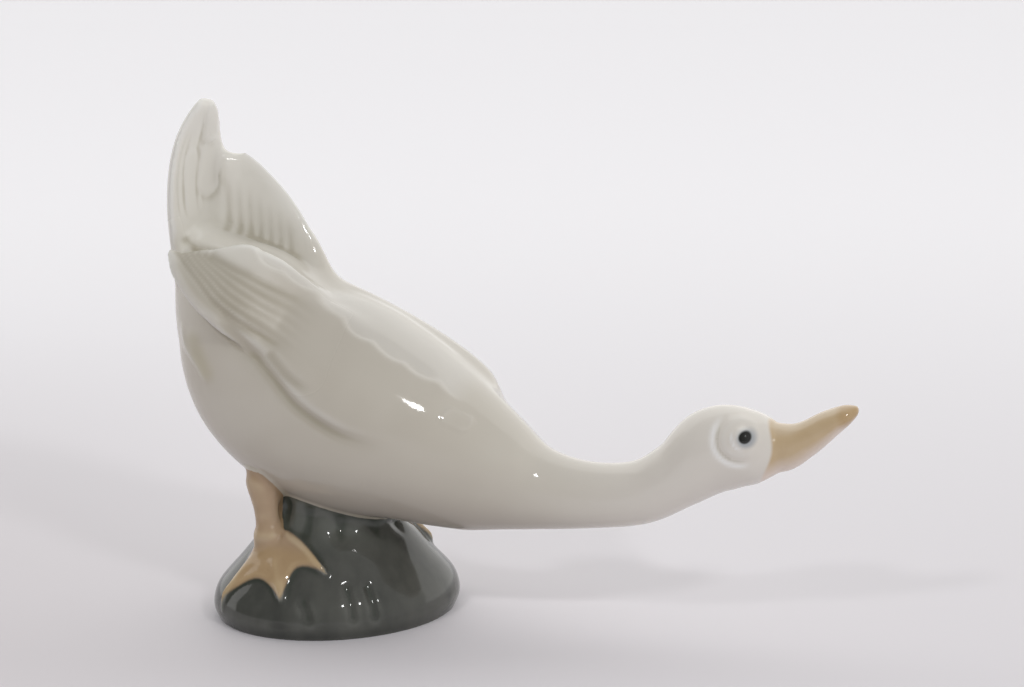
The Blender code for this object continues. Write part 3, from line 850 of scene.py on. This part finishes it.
FEET = (
    ((-11.3, -12.7), (-4.1, 0.6), ((-21.0, -20.0), (-5.5, -24.2), (3.4, -18.5))),
    ((8.0, 11.8), (2.7, -3.0), ((19.0, 12.0), (16.5, 19.5), (6.0, 22.0))),
)
PLATE, TOE_RIDGE, KNOB = 0.85, 0.50, 0.30
height = points[:, 2] / MM
foot_edge = np.full(len(points), -50.0)
on_top = soft_step((normals[:, 2] - 0.02) / 0.12)
off_leg = soft_step((from_legs + 0.8) / 2.0)
on_slope = soft_step((24.0 - height) / 3) * on_top * off_leg
for heel, half_heel, toes in FEET:
    edge = inside_distance(plan_view, foot_outline(heel, np.array(half_heel), toes))
    foot_edge = np.maximum(foot_edge, edge)
    cut += on_slope * PLATE * soft_step((edge + 0.35) / 0.9)
    for toe in toes:
        distance, share, _ = follow(plan_view, (heel, toe))
        ridge = groove(distance, 1.0) * soft_step((1.06 - share) / 0.1)
        cut += on_slope * TOE_RIDGE * ridge * soft_step((edge + 0.8) / 0.8)
        knuckle = np.array(heel) + 0.93 * (np.array(toe) - heel)
        cut += on_slope * KNOB * groove(np.linalg.norm(plan_view - knuckle, axis=1), 1.2)
foot_paint = np.where((on_top > 0.3) & (height < 22.5), foot_edge, -5)
leg_edge = np.maximum(leg_edge, np.clip(foot_paint, -5, 5))

# %% Column flutes and rim dimples
FLUTES, FLUTE_DEPTH = 11, 1.50
from_axis = np.linalg.norm(plan_view, axis=1)
turn = np.arctan2(plan_view[:, 1], plan_view[:, 0])
column = soft_step((height - 18) / 5) * (from_axis < 19) * soft_step((mound_edge - 0.3) / 1.5) * off_leg
column *= soft_step((-foot_edge - 0.2) / 1.2)
waves = np.abs(np.sin(0.5 * (FLUTES * turn + 0.9 * np.sin(3 * turn)))) ** 0.8
cut -= column * FLUTE_DEPTH * (1 - waves)
DIMPLES = (((8.2, -18.6), (11.0, -21.8)), ((12.2, -15.8), (14.8, -18.4)), ((-0.5, -23.8), (1.4, -25.4)))
for dimple in DIMPLES:
    distance, _, _ = follow(plan_view, dimple)
    cut -= 0.50 * soft_step((height - 3.5) / 2) * soft_step((13 - height) / 2) * groove(distance, 0.90)

# %% Apply the carving
ANKLE_ROUNDS, COLUMN_ROUNDS = 26, 10
cut = 0.7 * cut + 0.3 * neighbour_mean(cut)
carved = points + normals * (cut * MM)[:, None]
for heel, _, _ in FEET:
    from_heel = np.linalg.norm(plan_view - np.array(heel), axis=1)
    ankle = soft_step((6.5 - from_heel) / 2.5) * soft_step((21.5 - height) / 3) * soft_step((height - 10) / 2)
    carved = melt(carved, ankle, ANKLE_ROUNDS)
carved = melt(carved, column, COLUMN_ROUNDS)
# The lowest millimetre keeps its height, so that the underside stays flat
carved[:, 2] = np.where(height < 1, points[:, 2], carved[:, 2])
carved = np.clip(carved, np.array(low) - [0, 0, 1], np.array(high))
write_points(skin, carved)
print("carved", len(points), "points")

# %% [markdown]
# ## What the glaze needs to know
#
# The borders measured above go into the mesh as named numbers, and so do six masks of the carving: tuft,
# pooling lines, fans, the painted light above the scalloped edge and the painted shade below it, and the
# cheek's pale rings of painted highlight. Two more numbers are measured here. One says how far a point lies
# beyond the line where the beak begins. The other says how hollow the skin is there, because glaze pools in
# hollows and thins out over ridges.

# %% Keep the numbers
face_line = 100.9 + 1.6 * np.sin((carved[:, 2] / MM - 42.0) * math.pi / 11.0)
beak_edge = carved[:, 0] / MM - face_line
hollow = np.sum((neighbour_mean(carved) - carved) * read_normals(skin), axis=1) / MM
for _ in range(4):
    hollow = 0.5 * hollow + 0.5 * neighbour_mean(hollow)
print("hollow from", round(float(hollow.min()), 3), "to", round(float(hollow.max()), 3))
NUMBERS = {
    "mound_edge": np.clip(mound_edge, -5, 5),
    "leg_edge": np.clip(leg_edge, -5, 5),
    "beak_edge": np.clip(beak_edge, -5, 30),
    "hollow": np.clip(hollow * 10, -2, 2),
}
NUMBERS |= {"tuft": tuft, "pool": pool, "fan": fan_area, "painted_light_above_edge": painted_light_above_edge, "painted_shade_below_edge": painted_shade_below_edge, "painted_highlight_ring": painted_highlight_ring}
for name, values in NUMBERS.items():
    attribute = skin.attributes.new(name, "FLOAT", "POINT")
    attribute.data.foreach_set("value", np.asarray(values, np.float32))

# %% The goose as one object
SHARPEST_SMOOTH_EDGE = math.radians(60)
for form in forms.values():
    form.free()
skin.set_sharp_from_angle(angle=SHARPEST_SMOOTH_EDGE)
goose = bpy.data.objects.new("glazed_goose", skin)
bpy.context.scene.collection.objects.link(goose)
skin.calc_loop_triangles()
print("the goose has", len(skin.loop_triangles), "triangles")

# %% [markdown]
# ## Shader maths
#
# A node tree is easier to read as a formula. This small class wraps one socket, so that adding, multiplying
# and comparing wrapped sockets adds the Math nodes, and one method adds any other node.


# %% Sockets as numbers
class Painter:
    """Adds nodes to one tree."""

    def __init__(self, tree):
        self.tree = tree

    def node(self, kind, settings=None, inputs=None, output=0):
        made = self.tree.nodes.new(kind)
        for name, value in (settings or {}).items():
            setattr(made, name, value)
        for name, value in (inputs or {}).items():
            if isinstance(value, Socket):
                self.tree.links.new(value.socket, made.inputs[name])
            else:
                made.inputs[name].default_value = value
        return Socket(self, made.outputs[output])

    def attribute(self, name):
        return self.node("ShaderNodeAttribute", {"attribute_name": name}, output=2)

    def mix(self, share, first, second):
        """Mixes two colours, or a colour and a colour socket."""
        settings = {"data_type": "RGBA", "blend_type": "MIX", "clamp_factor": True}
        return self.node("ShaderNodeMix", settings, {0: share, 6: first, 7: second}, output=2)

    def layers(self, base, coats):
        """Lays colours over a base one after another, each with the share that it covers."""
        for share, tint in coats:
            base = self.mix(share, base, tint)
        return base

    def noise(self, place, scale, detail):
        return self.node("ShaderNodeTexNoise", None, {"Vector": place, "Scale": scale, "Detail": detail})

    def along(self, place, direction):
        """How far a place lies along a direction."""
        settings = {"operation": "DOT_PRODUCT"}
        return self.node("ShaderNodeVectorMath", settings, {0: place, 1: direction}, output=1)


class Socket:
    """One output socket. Arithmetic on it adds Math nodes."""

    def __init__(self, painter, socket):
        self.painter = painter
        self.socket = socket

    def math(self, operation, *others):
        values = (self, *others)
        return self.painter.node("ShaderNodeMath", {"operation": operation}, dict(enumerate(values)))

    def __add__(self, other):
        return self.math("ADD", other)

    def __sub__(self, other):
        return self.math("SUBTRACT", other)

    def __mul__(self, other):
        return self.math("MULTIPLY", other)

    def between(self, start, end):
        """0 at start and 1 at end, smooth in between."""
        return self.painter.node(
            "ShaderNodeMapRange",
            {"interpolation_type": "SMOOTHSTEP"},
            {"Value": self, "From Min": start, "From Max": end},
        )


def colour(red, green, blue):
    """A colour given as it looks on a screen, 0 to 255, made linear."""
    shares = [value / 255 for value in (red, green, blue)]
    return (*[s / 12.92 if s <= 0.04045 else ((s + 0.055) / 1.055) ** 2.4 for s in shares], 1)


# %% [markdown]
# ## The glaze
#
# Porcelain glaze is a clear glossy layer over a pale body. It is thicker in hollows, where it looks deeper and
# a little green, and thinner on ridges, where the white body shows through. The mound is mottled, the beak has
# a darker nail, and the eye is one black dot with a soft grey edge. Light and shade are painted on as well:
# the beak's ridge and underside are paler, the white is darker facing down and up and lighter high up and on
# the head, and the scalloped edge and the cheek's rings have painted light and shade.

# %% Glaze
PUPIL = Vector((0.0968, 0.0062, 0.0504))
PUPIL_RADIUS = 0.00155

glaze = bpy.data.materials.new("porcelain_glaze")
glaze.use_nodes = True
paint = Painter(glaze.node_tree)
shader = glaze.node_tree.nodes["Principled BSDF"]
shader.inputs["IOR"].default_value = 1.5
shader.inputs["Coat Roughness"].default_value = 0.03
shader.inputs["Coat IOR"].default_value = 1.5
here = paint.node("ShaderNodeTexCoord", output=3)
x, y, z = (paint.node("ShaderNodeSeparateXYZ", None, {0: here}, output=axis) for axis in range(3))
hollowness = paint.attribute("hollow")
pooled = hollowness.between(0.02, 0.35)
thin = hollowness.between(-0.05, -0.55)
cloud = paint.noise(here, 38, 2)

facing = paint.node("ShaderNodeNewGeometry", output=1)
facing_up = paint.node("ShaderNodeSeparateXYZ", None, {0: facing}, output=2)
WHITE_COATS = (
    # Painted shade on surfaces facing down
    (facing_up.between(-0.2, -0.95) * 0.65, colour(168, 158, 148)),
    # Painted shade below the scalloped edge
    (paint.attribute("painted_shade_below_edge") * 0.45, colour(190, 182, 168)),
    # Painted shade on surfaces facing up, to tone down the light from above
    (facing_up.between(0.35, 1.0) * 0.5, colour(190, 186, 178)),
    # Painted light above the scalloped edge
    (paint.attribute("painted_light_above_edge") * 0.30, colour(222, 220, 217)),
    # Painted light: the high parts, the neck and the head are lighter
    (z.between(0.074, 0.095) * 0.8, colour(238, 236, 229)),
    (x.between(0.035, 0.080) * 0.75, colour(238, 233, 226)),
    (pooled * 0.6, colour(176, 169, 148)),
    (thin * 0.6, colour(236, 235, 231)),
    # Painted highlight of the cheek's rings
    (paint.attribute("painted_highlight_ring") * 0.85, colour(252, 252, 251)),
    (paint.attribute("pool") * 0.65, colour(158, 150, 130)),
    (paint.attribute("tuft") * 0.35, colour(180, 172, 136)),
)
white = paint.mix(cloud.between(0.35, 0.7), colour(204, 198, 186), colour(212, 207, 196))
white = paint.layers(white, WHITE_COATS)

streaks = paint.noise(paint.node("ShaderNodeMapping", None, {"Vector": here, "Scale": (1, 1, 0.35)}), 120, 3)
GREEN_COATS = (
    (z.between(0.016, 0.024) * 0.7, colour(106, 109, 103)),
    (pooled * 0.7, colour(58, 64, 56)),
    (thin * 0.7, colour(136, 138, 132)),
)
green = paint.mix(streaks.between(0.3, 0.72), colour(64, 66, 62), colour(84, 85, 80))
green = paint.layers(green, GREEN_COATS)

tan_cloud = paint.noise(here, 120, 3)
LEG_COATS = (
    (pooled * 0.6, colour(142, 116, 80)),
    (thin * 0.6, colour(212, 194, 162)),
    (z.between(0.0205, 0.0175) * 0.35, colour(186, 156, 104)),
)
leg_tan = paint.mix(tan_cloud.between(0.35, 0.7), colour(176, 151, 124), colour(186, 161, 133))
leg_tan = paint.layers(leg_tan, LEG_COATS)

along_beak = paint.attribute("beak_edge")
BEAK_COATS = (
    # Painted light: the beak's underside is paler and pinker, and its upper ridge paler, for the light they
    # catch
    (facing_up.between(-0.1, -0.7) * 0.85, colour(236, 222, 212)),
    (facing_up.between(0.5, 1.0) * 0.6, colour(220, 206, 186)),
    (along_beak.between(15.5, 18.0) * 0.5, colour(180, 146, 96)),
)
beak_tan = paint.mix(tan_cloud.between(0.3, 0.7), colour(204, 180, 144), colour(211, 189, 155))
beak_tan = paint.layers(beak_tan, BEAK_COATS)

# %% Borders, eyes and gloss
# The grey shade beside each pupil lies a little ahead of it and below it
SHADE_AHEAD, SHADE_BELOW = 0.0005, 0.0002
ahead_of_pupil, above_pupil = x - PUPIL.x, z - PUPIL.z
beside_pupil = y.math("ABSOLUTE") - PUPIL.y
squares = ahead_of_pupil * ahead_of_pupil + above_pupil * above_pupil + beside_pupil * beside_pupil * 0.2
eye_distance = squares.math("SQRT")
ahead_of_shade, above_shade = ahead_of_pupil - SHADE_AHEAD, above_pupil + SHADE_BELOW
shade_distance = (ahead_of_shade * ahead_of_shade + above_shade * above_shade).math("SQRT")
on_head = x.between(0.088, 0.090)
FINAL_COATS = (
    (paint.attribute("mound_edge").between(-0.22, 0.22), green),
    (paint.attribute("leg_edge").between(-0.25, 0.25), leg_tan),
    (along_beak.between(-0.45, 0.45), beak_tan),
    (shade_distance.between(0.0027, 0.0012) * on_head * 0.6, colour(128, 142, 156)),
    (eye_distance.between(PUPIL_RADIUS * 1.12, PUPIL_RADIUS * 0.86) * on_head, colour(28, 29, 27)),
)
coat = paint.layers(white, FINAL_COATS)
glaze.node_tree.links.new(coat.socket, shader.inputs["Base Color"])

gloss = paint.noise(here, 60, 2) * 0.05 + 0.045 + paint.attribute("fan") * 0.30
glaze.node_tree.links.new(gloss.socket, shader.inputs["Roughness"])
ripple = paint.noise(here, 260, 2)
bump = paint.node("ShaderNodeBump", None, {"Height": ripple, "Strength": 0.05, "Distance": 0.0004})
glaze.node_tree.links.new(bump.socket, shader.inputs["Normal"])
skin.materials.clear()
skin.materials.append(glaze)
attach(goose, "root")
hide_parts("goose_figurine")

# %% [markdown]
# ## Floor and light
#
# Glaze shows what stands round it, so the studio matters as much as the colour. A big white sheet hangs behind
# the goose and up over it, and draws the long pale band down the back and neck. The room in front is dimmer.
# Of the two small soft lamps either side of the camera only the right one is mirrored in the glaze, so that
# the bright specks stay few.

# %% Floor
FLOOR_RADIUS = 3.0
bm = bmesh.new()
bmesh.ops.create_circle(bm, cap_ends=True, segments=96, radius=FLOOR_RADIUS)
floor_mesh = bpy.data.meshes.new("floor")
bm.to_mesh(floor_mesh)
bm.free()
floor = bpy.data.objects.new("floor", floor_mesh)
bpy.context.scene.collection.objects.link(floor)
paper = bpy.data.materials.new("pale_paper")
paper.use_nodes = True
paint = Painter(paper.node_tree)
AWAY = (-math.sin(TURN), math.cos(TURN), 0)
RIGHTWARD = (math.cos(TURN), math.sin(TURN), 0)
ground = paint.node("ShaderNodeTexCoord", output=3)
away, beside = paint.along(ground, AWAY), paint.along(ground, RIGHTWARD)
# Painted shade: the paper is darker towards the camera, and darker still on the near left
pale = paint.mix(away.between(-0.12, 0.45), colour(219, 216, 220), colour(246, 245, 248))
pale = paint.mix(beside.between(0.02, -0.12) * away.between(0.30, -0.05) * 0.6, pale, colour(204, 198, 200))
surface = paper.node_tree.nodes["Principled BSDF"]
glow = paint.mix(away.between(-0.15, 0.55), (0.035, 0.034, 0.038, 1), (0.115, 0.115, 0.125, 1))
seen = paint.node("ShaderNodeLightPath", output="Is Camera Ray")
for ray in ("Is Glossy Ray", "Is Transmission Ray"):
    seen = seen.math("MAXIMUM", paint.node("ShaderNodeLightPath", output=ray))
glow = paint.mix(seen, (0, 0, 0, 1), glow)
paper.node_tree.links.new(glow.socket, surface.inputs["Emission Color"])
surface.inputs["Emission Strength"].default_value = 1.0
surface.inputs["Roughness"].default_value = 0.7
surface.inputs["Specular IOR Level"].default_value = 0.2
paper.node_tree.links.new(pale.socket, surface.inputs["Base Color"])
floor_mesh.materials.append(paper)

# %% Room
ROOM_LIGHT = 0.42
SHEET_LIGHT = 1.25
SHEET_TOP = math.tan(math.radians(76))
RIGHT_SHARE = 0.70
room = bpy.data.worlds.new("studio")
room.use_nodes = True
bpy.context.scene.world = room
paint = Painter(room.node_tree)
toward = paint.node("ShaderNodeTexCoord", output=0)
height_there = paint.node("ShaderNodeSeparateXYZ", None, {0: toward}, output=2)
on_sheet = (paint.along(toward, AWAY) * SHEET_TOP - height_there).between(-0.02, 0.06)
room_there = (paint.along(toward, RIGHTWARD) * RIGHT_SHARE + 1) * ROOM_LIGHT
brightness = on_sheet * (room_there * -1 + SHEET_LIGHT) + room_there
lit = paint.node("ShaderNodeBackground", None, {"Color": (1.0, 0.99, 0.975, 1), "Strength": brightness})
room.node_tree.links.new(lit.socket, room.node_tree.nodes["World Output"].inputs["Surface"])

# %% Lamps
LAMP_REACH, LAMP_WIDTH, LAMP_DEPTH = 1.1, 0.13, 0.09
LIT_CENTRE = Vector((0.03, 0, 0.05))
for name, turn_angle, lift_angle, power in (("right_lamp", -45, 40, 1.6), ("left_lamp", -107, 42, 1.4)):
    turned, lifted = math.radians(turn_angle), math.radians(lift_angle)
    level = math.cos(lifted)
    direction = Vector((math.cos(turned) * level, math.sin(turned) * level, math.sin(lifted)))
    lamp = bpy.data.lights.new(name, "AREA")
    lamp.shape = "RECTANGLE"
    lamp.size, lamp.size_y = LAMP_WIDTH, LAMP_DEPTH
    lamp.energy = power
    holder = bpy.data.objects.new(name, lamp)
    holder.location = direction * LAMP_REACH + LIT_CENTRE
    holder.rotation_euler = direction.to_track_quat("Z", "Y").to_euler()
    holder.visible_glossy = name == "right_lamp"
    bpy.context.scene.collection.objects.link(holder)
bpy.context.scene.view_settings.view_transform = "Standard"
